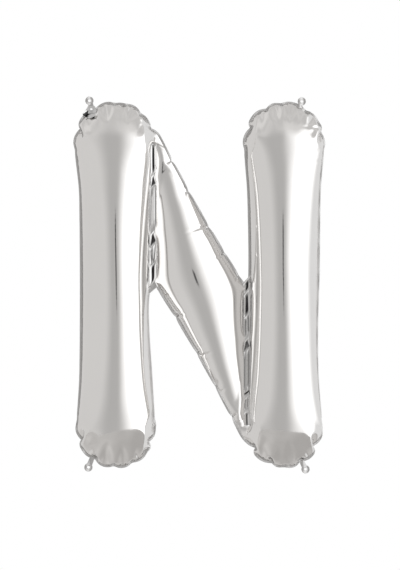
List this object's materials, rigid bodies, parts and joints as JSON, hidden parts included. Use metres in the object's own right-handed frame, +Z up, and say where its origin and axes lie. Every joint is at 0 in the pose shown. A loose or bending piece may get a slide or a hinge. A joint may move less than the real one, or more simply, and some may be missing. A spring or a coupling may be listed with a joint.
{
  "type": "letter foil balloon",
  "caption": "Inflated foil letter N: two mirror-silver panels welded edge to edge, two webs, hang tabs and a fill neck.",
  "frame": {"origin": "middle of the letter, on the plane of the weld, where the air holds the balloon up", "axes": "+Z up the stems, +X to the right as the letter is read, -Y towards the reader"},
  "size_m": [0.5274, 0.147, 0.7986],
  "materials": {
    "foil": "mirror silver metallised film",
    "weld": "two plies of metallised film, pressed and puckered",
    "tab": "two plies of metallised film, pressed flat",
    "valve_film": "metallised film over clear valve film"
  },
  "bodies": {
    "root": {"front_panel": "foil", "back_panel": "foil", "rim_weld": "weld", "web_left": "weld", "web_right": "weld", "hang_tab_top_left": "tab", "hang_tab_top_right": "tab", "hang_tab_bottom_left": "tab", "hang_tab_bottom_right": "tab", "fill_neck": "valve_film"}
  },
  "joints": []
}
